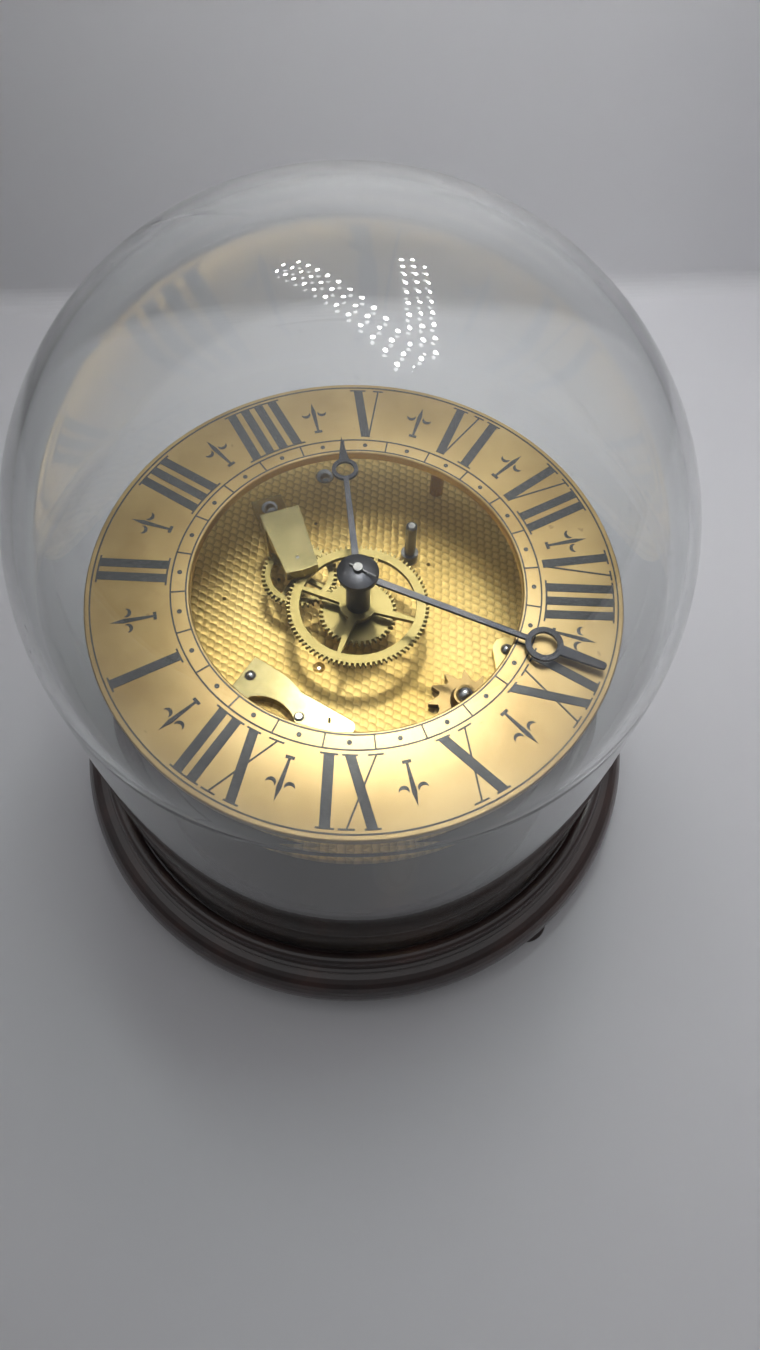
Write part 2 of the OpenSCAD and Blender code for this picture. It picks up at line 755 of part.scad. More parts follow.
module minute_wheel() {
    turn = heading(motion_at, centre) + 180 / cannon_teeth;
    color(brass) at(motion_at, cannon_wheel_z)
        crossed_wheel(cannon_teeth, cannon_m, turn, 4, 1.8, 3.2, arbor_r + fit_clear, wheel_t);
}

module minute_pinion() {
    turn = heading(motion_at, centre) + 180 / minute_leaves;
    leaf_z = cannon_wheel_z + wheel_t;
    cock_arm_z = cock_top - cock_arm_t;
    color(steel) at(motion_at) union() {
        translate([0, 0, plate_z + 0.4]) rod(pivot_r, cock_top - plate_z - 0.8);
        translate([0, 0, plate_top + 0.5]) rod(arbor_r, cock_arm_z - plate_top - 1);
        translate([0, 0, leaf_z]) rotate(turn) linear_extrude(hour_wheel_z + wheel_t + 0.5 - leaf_z)
            leaf_teeth(minute_leaves, hour_m);
    }
}

// The cock lies along a line through the minute-wheel pivot
cock_turn = 142.1;
cock_front = 4.8;
cock_back = 20;
cock_tail = 41;
cock_screw_at = motion_at - 36.5 * [cos(cock_turn), sin(cock_turn)];
cock_block = 13.8;

module minute_wheel_cock() {
    tail_t = 4;
    color(pale_brass) at(motion_at) rotate(cock_turn) difference() {
        union() {
            translate([0, 0, cock_top - cock_arm_t]) linear_extrude(cock_arm_t) polygon([[-cock_back, -6.7],
                [-cock_back, 6.7], [cock_front, 5.3], [cock_front + 0.5, 0], [cock_front, -5.3]]);
            translate([-cock_back, -6.7, plate_top])
                cube([cock_back - cock_block, 13.4, cock_top - plate_top - 1]);
            translate([-cock_tail, -5.5, plate_top]) cube([cock_tail - cock_block - 1, 11, tail_t]);
        }
        translate([0, 0, plate_top]) rod(pivot_r + pivot_clear, 40);
        translate([-36.5, 0, plate_top - 1]) rod(1.55, 20);
    }
}

module cock_screw() {
    color(steel) at(cock_screw_at, plate_top + 4) rotate(20) domed_screw(1.5, 5.5, 3, 1.8);
}

post_at = [0.9, -34.8];

module steel_post() {
    color(steel) at(post_at, plate_top) union() {
        translate([0, 0, -1.8]) rod(1.3, 2);
        rod(3, 4);
        rod(1.9, 18.4);
        translate([0, 0, 18.4]) cylinder(r1 = 1.9, r2 = 1.2, h = 0.6);
    }
}

// Bridge with a round window, at the edge of the open centre
bridge_screw_at = [19, 34.6];
stud_at = [-2.4, 38.4];
bridge_t = 2.2;
bar_t = 1.6;
window_at = [6, aperture_r - 0.9];
window_r = 12.6;
bar_h = plate_top + bar_t;

module bridge_block() {
    color(brass) at(centre, plate_top) difference() {
        translate([14.8, 28.2, 0]) cube([6.8, 14, bar_t + bridge_t]);
        at(bridge_screw_at, -1) rod(1.05, 20);
    }
}

module bridge_screw() {
    color(steel) at(bridge_screw_at, plate_top + bar_t + bridge_t) domed_screw(1, 5.6, 1.9, 1.2);
}

module curved_bridge() {
    bow_at = [12.5, aperture_r + 1.1];
    bow_r = 23.6;
    color(brass) at(centre, bar_h) linear_extrude(bridge_t) difference() {
        intersection() {
            translate(bow_at) circle(r = bow_r, $fn = 120);
            translate([-11, 28.2]) square([14.8 + 11 - 0.02, 24]);
        }
        translate(window_at) circle(r = window_r, $fn = 96);
        translate(stud_at) circle(r = 0.85);
    }
}

module bridge_stud() {
    color(steel) at(stud_at, plate_top) union() {
        translate([0, 0, -1.8]) rod(0.8, bar_t + bridge_t + 2.2);
        translate([0, 0, bar_t + bridge_t]) cylinder(r1 = 1.7, r2 = 1.1, h = 0.7);
    }
}

module bridge_bar() {
    color(pale_brass) at(centre, plate_top) linear_extrude(bar_t) difference() {
        union() {
            translate([-16.5, 30]) square([31.2, 18]);
            translate([-19, 32.5]) square([5, 15.5]);
            translate([-16.5, 32.5]) circle(r = 2.5);
        }
        translate(stud_at) circle(r = 0.85);
        translate(window_at) circle(r = window_r, $fn = 96);
    }
}

module steel_strip() {
    color(steel) at(centre, bar_h) union() {
        translate([-17, 34, 0]) linear_extrude(0.8) polygon([[0, 0], [5, 0.4], [5, 3.6], [0, 3.2]]);
        translate([-10.4, 33.2, 0]) rod(0.5, 2.4, $fn = 24);
    }
}

// Winding
ratchet_z = plate_top + 1;

module barrel_arbor() {
    square_l = 9;
    top_z = ratchet_z + ratchet_t;
    color(steel) at(barrel_at) difference() {
        union() {
            translate([0, 0, lower_z - 1]) rod(barrel_arbor_r, top_z - lower_z + 1);
            translate([0, 0, barrel_floor_z + 1.8]) rod(barrel_core_r, drum_h - 4);
            translate([-square_w / 2, -square_w / 2, lower_z - 1 - square_l])
                cube([square_w, square_w, square_l + eps]);
        }
        translate([0, 0, top_z - 8]) rod(1.05, 20);
    }
}

module ratchet_wheel() {
    root = ratchet_r - 3.1;
    step = 360 / ratchet_teeth;
    color(brass) at(barrel_at, ratchet_z) rotate(ratchet_turn) linear_extrude(ratchet_t) difference() {
        polygon([for (i = [0:ratchet_teeth - 1]) for (row = [[root, 0.1], [root, 0.42], [ratchet_r, 0.92],
            [ratchet_r, 0.99]]) let(a = (i + row[1]) * step) row[0] * [cos(a), sin(a)]]);
        circle(r = barrel_arbor_r + fit_clear);
    }
}

module ratchet_collar() {
    color(brass) at(barrel_at, ratchet_z + ratchet_t) difference() {
        rotate_extrude() polygon([[0, 0], [4.4, 0], [4.4, 2.2], [3.6, 4.6], [0, 4.6]]);
        at(centre, -1) rod(1.05, 20);
    }
}

module ratchet_screw() {
    color(steel) at(barrel_at, ratchet_z + ratchet_t + 4.6) domed_screw(1, 11, 2.9, 2.4);
}

// The click turns about its screw, with its nose beside the ratchet's teeth
ratchet_turn = 5;
click_at = [-46.4, -18.6];
click_gap = 0.35;
click_span = norm(barrel_at - click_at);
click_reach = sqrt(click_span * click_span - ratchet_r * ratchet_r);
click_turn = heading(click_at, barrel_at) + asin(ratchet_r / click_span);

module click() {
    x = click_reach;
    color(brass) at(click_at, ratchet_z) rotate(click_turn) linear_extrude(ratchet_t) difference() {
        union() {
            circle(r = 4.7);
            polygon([[0, -4.6], [x - 14, -2.6], [x - 7, -0.7], [x - 4, click_gap], [x, click_gap],
                [x, click_gap + 1.1], [x - 5, 3.2], [2, 4.2]]);
        }
        circle(r = 1.55);
    }
}

module click_screw() {
    color(steel) at(click_at) union() {
        translate([0, 0, plate_top]) tube(3.6, 1.52, ratchet_z - plate_top - 0.1);
        translate([0, 0, ratchet_z + ratchet_t + 0.15]) domed_screw(1.5, ratchet_t + 3, 2.1, 1.5);
    }
}

module click_spring() {
    foot = [-3.5, 12.5];
    tip = [click_reach - 8, 4.4];
    color(steel) at(click_at, plate_top) rotate(click_turn) union() {
        translate(foot) rod(2.4, 1.2);
        translate(concat(foot, [1.1])) rod(2.4, 1.8);
        translate([0, 0, 1.1]) linear_extrude(1.8)
            polygon([foot + [0, 2.3], foot + [0, 1.6], tip, tip + [0, 0.6]]);
    }
}

// Going train
barrel_floor_z = barrel_tooth_z;

module barrel() {
    turn = heading(barrel_at, inter_at);
    color(brass) at(barrel_at, barrel_floor_z) difference() {
        union() {
            rotate(turn) linear_extrude(2.4) wheel_teeth(barrel_teeth, barrel_module);
            rod(drum_r, drum_h - 1.6);
        }
        translate([0, 0, 1.5]) rod(drum_r - 1.5, drum_h);
        translate([0, 0, -1]) rod(barrel_arbor_r + pivot_clear, 10);
    }
}

module barrel_cover() {
    color(brass) at(barrel_at, barrel_floor_z + drum_h - 1.6)
        tube(drum_r, barrel_arbor_r + pivot_clear, 1.6);
}

module mainspring() {
    turns = 12;
    t = 0.5;
    outer = drum_r - 1.7 - t;
    pitch = (outer - barrel_core_r - 0.2) / turns;
    steps = turns * 16;
    function at_turn(i, r) = let(a = i * 360 / 16) (r - pitch * (steps - i) / 16) * [cos(a), sin(a)];
    color(steel) at(barrel_at, barrel_floor_z + 1.9) linear_extrude(drum_h - 4.2)
        polygon(concat([for (i = [0:steps]) at_turn(i, outer + t)],
            [for (i = [steps:-1:0]) at_turn(i, outer)]));
}

module inter_arbor() {
    color(steel) at(inter_at) pinion_arbor(inter_leaves, barrel_module,
        heading(inter_at, barrel_at) + 180 / inter_leaves, barrel_floor_z - 0.3, 3);
}

module inter_wheel() {
    color(brass) at(inter_at, inter_wheel_z) crossed_wheel(inter_teeth, inter_m,
        heading(inter_at, centre), 4, 1.8, 3.4, arbor_r + fit_clear, wheel_t);
}

module centre_arbor() {
    tip_z = pin_z + 0.8;
    color(steel) difference() {
        union() {
            at(centre, lower_z + 0.4) rod(pivot_r, plate_t + 0.2);
            at(centre, lower_top + 0.5) rod(arbor_r, inter_wheel_z - lower_top);
            at(centre, inter_wheel_z - 0.5) rotate(heading(centre, inter_at) + 180 / centre_leaves)
                linear_extrude(2.5) leaf_teeth(centre_leaves, inter_m);
            at(centre, inter_wheel_z + 1.9) rod(centre_r, tip_z - inter_wheel_z - 1.9);
        }
        at(centre, pin_z) rotate(pin_turn) translate([0, -5, 0]) rotate([-90, 0, 0]) rod(0.45, 10);
    }
}

module centre_wheel() {
    color(brass) at(centre, centre_wheel_z) crossed_wheel(centre_teeth, centre_m,
        heading(centre, third_at), 5, 1.8, 3.6, arbor_r + fit_clear, wheel_t);
}

module third_arbor() {
    color(steel) at(third_at) pinion_arbor(third_leaves, centre_m,
        heading(third_at, centre) + 180 / third_leaves, centre_wheel_z - 0.4, 2.3);
}

module third_wheel() {
    color(brass) at(third_at, third_wheel_z) crossed_wheel(third_teeth, third_m,
        heading(third_at, fourth_at), 5, 1.8, 3, arbor_r + fit_clear, wheel_t);
}

module fourth_arbor() {
    color(steel) at(fourth_at) pinion_arbor(fourth_leaves, third_m,
        heading(fourth_at, third_at) + 180 / fourth_leaves, third_wheel_z - 0.4, 2.3);
}

module fourth_wheel() {
    color(brass) at(fourth_at, fourth_wheel_z) crossed_wheel(fourth_teeth, fourth_m,
        heading(fourth_at, escape_at), 5, 1.4, 2.6, arbor_r + fit_clear, wheel_t);
}

module escape_arbor() {
    color(steel) at(escape_at) pinion_arbor(escape_leaves, fourth_m,
        heading(escape_at, fourth_at) + 180 / escape_leaves, fourth_wheel_z - 0.4, 2.3);
}

module escape_wheel() {
    step = 360 / escape_teeth;
    root = escape_r - 1.6;
    color(brass) at(escape_at, escape_wheel_z) linear_extrude(1) difference() {
        polygon([for (i = [0:escape_teeth - 1]) for (row = [[root, 0.05], [root, 0.6], [escape_r, 0.86],
            [escape_r, 0.96]]) let(a = (i + row[1]) * step) row[0] * [cos(a), sin(a)]]);
        circle(r = arbor_r + fit_clear);
        for (i = [0:3]) rotate(i * 90 + 45) translate([2.9, 0]) circle(r = 0.85, $fn = 24);
    }
}

module pallet_lever() {
    reach = norm(balance_at - lever_at);
    color(steel) at(lever_at) union() {
        translate([0, 0, lower_z + 0.4]) rod(pivot_r, plate_z + plate_t - lower_z - 0.8);
        translate([0, 0, lower_top + 0.5]) rod(1, plate_gap - 1);
        translate([0, 0, escape_wheel_z]) rotate(escape_heading) linear_extrude(1) union() {
            circle(r = 1.9);
            translate([0, -0.6]) square([reach - 4.2, 1.2]);
            for (side = [-1, 1]) translate([reach - 4.4, side * 0.95 - 0.35]) square([1.5, 0.7]);
            for (side = [-1, 1]) polygon([[0, side * 1.2], [-0.9, side * 5.4], [-3.6, side * 6.3],
                [-5.9, side * 5.3], [-5, side * 4.4], [-2.4, side * 4.4], [-1.5, 0]]);
        }
    }
}

module balance_staff() {
    roller_z = escape_wheel_z - 0.2;
    color(steel) at(balance_at) union() {
        translate([0, 0, lower_z + 0.4]) rod(pivot_r, plate_z + plate_t - lower_z - 0.8);
        translate([0, 0, lower_top + 0.5]) rod(1.1, plate_gap - 1);
        translate([0, 0, roller_z]) rod(2.2, 1.4);
    }
}

module balance_wheel() {
    rim = 1.8;
    color(brass) at(balance_at, lower_top + 8) rotate(20) union() {
        tube(balance_r, balance_r - rim, 2.2);
        difference() {
            union() {
                translate([-balance_r + rim / 2, -1, 0.4]) cube([2 * balance_r - rim, 2, 1.2]);
                rod(2.6, 2.2);
            }
            translate([0, 0, -1]) rod(1.1 + fit_clear, 5);
        }
        for (i = [0:5]) rotate(i * 60 + 30) translate([balance_r - rim / 2, 0, 2.2]) rod(0.8, 0.8, $fn = 24);
    }
}

module hairspring() {
    turns = 6;
    t = 0.25;
    pitch = 0.8;
    inner = 1.9;
    steps = turns * 24;
    function coil(i, r) = let(a = i * 15) (r + pitch * i / 24) * [cos(a), sin(a)];
    color(steel) at(balance_at, lower_top + 13) union() {
        linear_extrude(0.8) polygon(concat([for (i = [0:steps]) coil(i, inner + t)],
            [for (i = [steps:-1:0]) coil(i, inner)]));
        tube(2.1, 1.1, 0.8);
    }
}

// The hairspring's outer end is pinned under this stud
module hairspring_stud() {
    end_r = 1.9 + 0.8 * 6 + 0.1;
    color(steel) at(balance_at + [end_r, 0], lower_top + 13.8) rod(1, plate_z - lower_top - 13.8);
}

base_moulding();
floor_board();
bottom_board();
bun_feet();
glass_dome();
support_columns();
column_screws();
dial_plate();
lower_plate();
movement_pillars();
pillar_screws();
chapter_ring();
dial_feet();
dial_foot_pins();
wax_numerals();
wax_tracks();
hour_hand();
hour_pipe();
hour_wheel();
minute_hand();
hand_collet();
taper_pin();
cannon_wheel();
centre_arbor();
centre_wheel();
minute_wheel();
minute_pinion();
minute_wheel_cock();
cock_screw();
steel_post();
curved_bridge();
bridge_block();
bridge_screw();
bridge_bar();
bridge_stud();
steel_strip();
barrel();
barrel_cover();
mainspring();
barrel_arbor();
ratchet_wheel();
ratchet_collar();
ratchet_screw();
click();
click_screw();
click_spring();
inter_arbor();
inter_wheel();
third_arbor();
third_wheel();
fourth_arbor();
fourth_wheel();
escape_arbor();
escape_wheel();
pallet_lever();
balance_staff();
balance_wheel();
hairspring();
hairspring_stud();
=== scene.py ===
"""The clock's looks: materials, floor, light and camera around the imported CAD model. Metres."""

import math

import bpy
from mathutils import Matrix, Vector

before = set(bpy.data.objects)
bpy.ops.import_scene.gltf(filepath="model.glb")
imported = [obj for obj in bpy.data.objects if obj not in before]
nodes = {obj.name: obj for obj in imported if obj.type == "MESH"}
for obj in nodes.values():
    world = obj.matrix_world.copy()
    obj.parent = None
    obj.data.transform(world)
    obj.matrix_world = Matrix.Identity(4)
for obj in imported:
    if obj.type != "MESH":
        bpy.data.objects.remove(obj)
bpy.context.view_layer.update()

# Which sockets of a Mix node hold its two values and its result
MIX_SOCKETS = {"RGBA": (6, 7, 2), "VECTOR": (4, 5, 1)}
BEVEL_SAMPLES = 4


def tone(colour):
    """A grey number or an RGB triple as a node colour; sockets pass through."""
    if isinstance(colour, bpy.types.NodeSocket):
        return colour
    if isinstance(colour, (int, float)):
        return (colour, colour, colour, 1.0)
    return (*colour, 1.0)


class Graph:
    """A short way to write shader nodes, in a new material or in a tree that exists."""

    def __init__(self, tree, mat=None):
        self.tree = tree
        self.mat = mat

    @classmethod
    def material(cls, name):
        mat = bpy.data.materials.new(name)
        mat.use_nodes = True
        mat.node_tree.nodes.clear()
        return cls(mat.node_tree, mat)

    def feed(self, socket, value):
        if isinstance(value, bpy.types.NodeSocket):
            self.tree.links.new(value, socket)
        else:
            socket.default_value = value

    def add(self, kind, **inputs):
        node = self.tree.nodes.new("ShaderNode" + kind)
        for key, value in inputs.items():
            self.feed(node.inputs[key.replace("_", " ")], value)
        return node

    def math(self, op, *values, clamp=False):
        node = self.add("Math")
        node.operation = op
        node.use_clamp = clamp
        for socket, value in zip(node.inputs, values):
            self.feed(socket, value)
        return node.outputs[0]

    def vector(self, op, *values):
        node = self.add("VectorMath")
        node.operation = op
        for socket, value in zip(node.inputs, values):
            self.feed(socket, value)
        return node.outputs["Value" if op in ("LENGTH", "DOT_PRODUCT") else "Vector"]

    def place(self):
        return self.add("TexCoord").outputs["Object"]

    def split(self, vector):
        return self.add("SeparateXYZ", Vector=vector).outputs

    def join(self, x, y, z):
        return self.add("CombineXYZ", X=x, Y=y, Z=z).outputs[0]

    def stretch(self, vector, factors):
        return self.vector("MULTIPLY", vector, factors)

    def noise(self, vector, scale, detail=3.0, rough=0.5):
        node = self.add("TexNoise", Vector=vector, Scale=scale, Detail=detail, Roughness=rough)
        return node.outputs["Fac"]

    def ramp(self, fac, *stops):
        node = self.add("ValToRGB", Fac=fac)
        while len(node.color_ramp.elements) < len(stops):
            node.color_ramp.elements.new(0.5)
        for element, (at, colour) in zip(node.color_ramp.elements, stops):
            element.position = at
            element.color = tone(colour)
        return node.outputs["Color"]

    def blend(self, data_type, fac, a, b):
        node = self.add("Mix")
        node.data_type = data_type
        first, second, result = MIX_SOCKETS[data_type]
        self.feed(node.inputs[0], fac)
        self.feed(node.inputs[first], a)
        self.feed(node.inputs[second], b)
        return node, node.outputs[result]

    def mix(self, fac, a, b):
        return self.blend("RGBA", fac, tone(a), tone(b))[1]

    def shade(self, colour, level):
        """A colour times a grey level."""
        node, result = self.blend("RGBA", 1.0, colour, self.join(level, level, level))
        node.blend_type = "MULTIPLY"
        return result

    def choose(self, fac, a, b):
        return self.blend("VECTOR", fac, a, b)[1]

    def mix_shaders(self, fac, a, b):
        node = self.add("MixShader", Fac=fac)
        self.feed(node.inputs[1], a)
        self.feed(node.inputs[2], b)
        return node.outputs[0]

    def bump(self, height, strength, distance, edge=None):
        """A bump's normal, over edges softened by a radius if one is given."""
        node = self.add("Bump", Height=height, Strength=strength, Distance=distance)
        if edge is not None:
            bevel = self.add("Bevel", Radius=edge)
            bevel.samples = BEVEL_SAMPLES
            self.feed(node.inputs["Normal"], bevel.outputs["Normal"])
        return node.outputs["Normal"]

    def surface(self, **inputs):
        return self.add("BsdfPrincipled", **inputs).outputs[0]

    def end(self, shader):
        self.feed(self.add("OutputMaterial").inputs["Surface"], shader)
        return self.mat


def dress(material, *names):
    for name in names:
        mesh = nodes[name].data
        mesh.materials.clear()
        mesh.materials.append(material)


# Materials
FINE_BUMP = 0.0002
SOFT_EDGE = 0.0003
THIN_EDGE = 0.00012


def mahogany():
    """Dark stained wood with long grain, pores and a worn polish."""
    g = Graph.material("mahogany")
    p = g.place()
    figure = g.noise(g.stretch(p, (55.0, 7.0, 90.0)), 1.0, 5.0, 0.6)
    pores = g.noise(g.stretch(p, (900.0, 60.0, 900.0)), 1.0, 2.0, 0.6)
    clouds = g.noise(p, 18.0)
    base = g.ramp(figure, (0.28, (0.012, 0.007, 0.007)), (0.52, (0.038, 0.016, 0.013)),
                  (0.75, (0.088, 0.034, 0.024)))
    base = g.mix(g.math("MULTIPLY", pores, 0.5), base, (0.008, 0.005, 0.005))
    base = g.mix(g.math("MULTIPLY", clouds, 0.45), base, (0.022, 0.013, 0.013))
    rough = g.math("MULTIPLY_ADD", clouds, 0.22, 0.26)
    return g.end(g.surface(Base_Color=base, Roughness=rough, Coat_Weight=0.55,
                           Coat_Roughness=0.16, Normal=g.bump(pores, 0.12, 0.0003, 0.0005)))


def clear_glass():
    """Blown glass, a little wavy, with a film of dust; light passes straight to the inside."""
    g = Graph.material("clear_glass")
    p = g.place()
    waves = g.noise(p, 14.0, 2.0)
    glass = g.surface(Base_Color=(0.975, 0.99, 0.985, 1.0), Roughness=0.0, IOR=1.5,
                      Specular_IOR_Level=0.34, Transmission_Weight=1.0,
                      Normal=g.bump(waves, 0.05, 0.0006))
    through = g.add("BsdfTransparent", Color=(0.93, 0.95, 0.945, 1.0)).outputs[0]
    dust = g.add("BsdfDiffuse", Color=(0.80, 0.80, 0.78, 1.0)).outputs[0]
    specks = g.math("GREATER_THAN", g.noise(p, 420.0, 2.0), 0.72)
    dusty = g.mix_shaders(g.math("MULTIPLY_ADD", specks, 0.04, 0.010), glass, dust)
    return g.end(g.mix_shaders(g.add("LightPath").outputs["Is Shadow Ray"], dusty, through))


def dial_brass():
    """Brushed round the dial, with a little tarnish and dark spots."""
    g = Graph.material("dial_brass")
    p = g.place()
    x, y, _ = g.split(p)
    radius = g.vector("LENGTH", g.join(x, y, 0.0))
    angle = g.math("ARCTAN2", y, x)
    brushed = g.join(g.math("MULTIPLY", radius, 2600.0), g.math("MULTIPLY", angle, 3.0), 0.0)
    grain = g.noise(brushed, 1.0, 3.0, 0.6)
    stain = g.noise(p, 26.0, 5.0, 0.6)
    base = g.ramp(stain, (0.3, (0.30, 0.20, 0.085)), (0.55, (0.43, 0.305, 0.14)),
                  (0.75, (0.50, 0.37, 0.185)))
    spots = g.math("GREATER_THAN", g.noise(p, 210.0), 0.72)
    base = g.mix(g.math("MULTIPLY", spots, 0.5), base, (0.2, 0.13, 0.06))
    rough = g.math("MULTIPLY_ADD", stain, 0.2, 0.28)
    return g.end(g.surface(Base_Color=base, Metallic=1.0, Roughness=rough,
                           Normal=g.bump(grain, 0.1, FINE_BUMP, SOFT_EDGE)))


def black_wax():
    g = Graph.material("black_wax")
    lumps = g.noise(g.place(), 900.0, 4.0, 0.6)
    base = g.ramp(lumps, (0.35, (0.012, 0.013, 0.016)), (0.6, (0.03, 0.031, 0.035)),
                  (0.8, (0.09, 0.085, 0.075)))
    return g.end(g.surface(Base_Color=base, Roughness=0.42,
                           Normal=g.bump(lumps, 0.5, FINE_BUMP)))


SPOT_PITCH = 0.0030
SPOT_ROW = 0.0026
SPOT_REACH = 0.82
SPOT_RIM = 0.42


def spotted_brass():
    """Perlage: rows of overlapping turned spots, each covering part of the one before."""
    g = Graph.material("spotted_brass")
    p = g.place()
    x, y, _ = g.split(p)
    u = g.math("DIVIDE", x, SPOT_PITCH)
    v = g.math("DIVIDE", y, SPOT_ROW)

    def spot(rows_on, columns_on):
        """The way from one spot's middle to the point, and whether the spot covers it."""
        j = g.math("ADD", g.math("FLOOR", v), float(rows_on))
        shift = g.math("MULTIPLY", g.math("MODULO", g.math("ABSOLUTE", j), 2.0), 0.5)
        i = g.math("ADD", g.math("FLOOR", g.math("SUBTRACT", u, shift)), float(columns_on))
        du = g.math("SUBTRACT", u, g.math("ADD", i, shift))
        dv = g.math("MULTIPLY", g.math("SUBTRACT", v, j), SPOT_ROW / SPOT_PITCH)
        way = g.join(du, dv, 0.0)
        return way, g.math("LESS_THAN", g.vector("LENGTH", way), SPOT_REACH)

    away, _ = spot(0, 0)
    for rows_on, columns_on in ((0, 1), (1, 0), (1, 1)):
        there, covers = spot(rows_on, columns_on)
        away = g.choose(covers, away, there)
    size = g.vector("LENGTH", away)
    rings = g.math("SINE", g.math("MULTIPLY", size, 60.0))
    dish = g.math("POWER", size, 2.0)
    # Painted shade: edge rises towards each spot's rim, where the next spot cuts in; it darkens
    # the colour there as painted shade in the creases between spots, and makes the rim a little
    # rougher
    edge = g.math("MULTIPLY", g.math("SUBTRACT", size, SPOT_REACH - SPOT_RIM), 2.4, clamp=True)
    stain = g.noise(p, 30.0, 4.0, 0.6)
    base = g.ramp(stain, (0.3, (0.74, 0.52, 0.17)), (0.7, (0.92, 0.70, 0.28)))
    # Painted shade: a dark brown line at the spots' rims
    base = g.mix(g.math("MULTIPLY", edge, 0.5), base, (0.30, 0.18, 0.06))
    rough = g.math("MULTIPLY_ADD", edge, 0.1, 0.48)
    height = g.math("ADD", g.math("MULTIPLY", rings, 0.04), dish)
    return g.end(g.surface(Base_Color=base, Metallic=1.0, Roughness=rough, Anisotropic=0.75,
                           Tangent=g.vector("NORMALIZE", away),
                           Normal=g.bump(height, 1.0, 0.0010)))


def turned_brass(name, dark, light, rough, edge):
    g = Graph.material(name)
    p = g.place()
    grain = g.noise(g.stretch(p, (900.0, 108.0, 900.0)), 1.0, 3.0, 0.6)
    stain = g.noise(p, 60.0, 4.0, 0.6)
    return g.end(g.surface(Base_Color=g.ramp(stain, (0.3, dark), (0.7, light)), Metallic=1.0,
                           Roughness=g.math("MULTIPLY_ADD", stain, 0.14, rough),
                           Normal=g.bump(grain, 0.08, FINE_BUMP, edge)))


def steel(name, dark, light, rough):
    g = Graph.material(name)
    p = g.place()
    marks = g.noise(g.stretch(p, (1500.0, 260.0, 1500.0)), 1.0, 4.0, 0.6)
    base = g.ramp(g.noise(p, 150.0, 4.0), (0.3, dark), (0.7, light))
    return g.end(g.surface(Base_Color=base, Metallic=1.0,
                           Roughness=g.math("MULTIPLY_ADD", marks, 0.14, rough),
                           Normal=g.bump(marks, 0.1, FINE_BUMP, 0.0002)))


# Name, dark and light tone, roughness, softened edge, and the CAD nodes that wear it
BRASSES = (
    ("plain_brass", (0.50, 0.42, 0.19), (0.66, 0.55, 0.28), 0.12, SOFT_EDGE,
     ("minute_wheel_cock", "curved_bridge", "bridge_bar", "bridge_block", "lower_plate",
      "barrel", "barrel_cover")),
    ("polished_brass", (0.66, 0.46, 0.17), (0.78, 0.58, 0.27), 0.10, SOFT_EDGE,
     ("support_columns", "movement_pillars", "dial_feet")),
    ("motion_brass", (0.17, 0.135, 0.05), (0.25, 0.20, 0.085), 0.42, THIN_EDGE,
     ("hour_wheel", "cannon_wheel", "minute_wheel")),
    ("dark_bronze", (0.14, 0.095, 0.04), (0.24, 0.165, 0.07), 0.32, THIN_EDGE,
     ("ratchet_wheel", "ratchet_collar")),
    ("wheel_brass", (0.55, 0.41, 0.15), (0.70, 0.55, 0.25), 0.24, THIN_EDGE,
     ("click", "centre_wheel", "third_wheel", "fourth_wheel", "inter_wheel", "escape_wheel",
      "balance_wheel")),
)
# Name, dark and light tone, roughness, and the CAD nodes that wear it
STEELS = (
    ("blued_steel", (0.030, 0.032, 0.040), (0.06, 0.058, 0.062), 0.30,
     ("hour_hand", "minute_hand", "hand_collet", "hour_pipe")),
    ("grey_steel", (0.11, 0.11, 0.115), (0.20, 0.195, 0.19), 0.24,
     ("steel_post", "taper_pin", "centre_arbor")),
    ("bright_steel", (0.42, 0.42, 0.43), (0.60, 0.60, 0.60), 0.16,
     ("cock_screw", "bridge_screw", "bridge_stud", "steel_strip", "ratchet_screw",
      "click_screw", "minute_pinion", "column_screws", "pillar_screws", "dial_foot_pins",
      "barrel_arbor", "inter_arbor", "third_arbor", "fourth_arbor", "escape_arbor",
      "pallet_lever", "balance_staff", "hairspring_stud")),
    ("spring_steel", (0.10, 0.11, 0.16), (0.18, 0.19, 0.24), 0.22,
     ("mainspring", "hairspring", "click_spring")),
)

dress(mahogany(), "base_moulding", "floor_board", "bottom_board", "bun_feet")
dress(clear_glass(), "glass_dome")
dress(dial_brass(), "chapter_ring")
dress(black_wax(), "wax_numerals", "wax_tracks")
dress(spotted_brass(), "dial_plate")
for *look, worn_by in BRASSES:
    dress(turned_brass(*look), *worn_by)
for *look, worn_by in STEELS:
    dress(steel(*look), *worn_by)

# Floor and backdrop: one sheet, which bends up behind the clock as the photo's camera sees it
BACK_DIRECTION = Vector((0.595, -0.804, 0.0))
BACK_DISTANCE = 0.2775
SHEET_HALF_WIDTH = 2.5
SHEET_FRONT = (-2.5, -0.6)
BEND = 0.012
BEND_STEPS = 8
BEND_STEP_DEGREES = 10
WALL_RUN, WALL_RISE = 0.18, 0.9
# Painted light: the paper's grey is painted lighter to one side and towards the back, and darker
# towards the camera, standing in for the room's light falling off
LIT_SIDE = (-0.856, -0.514, 0.0)
PAINTED_LIGHT_ASIDE, PAINTED_LIGHT_AWAY, PAINTED_LIGHT_MIDDLE = 0.60, 0.36, 0.63
PAINTED_LIGHT_LEAST, PAINTED_LIGHT_MOST = 0.42, 0.82


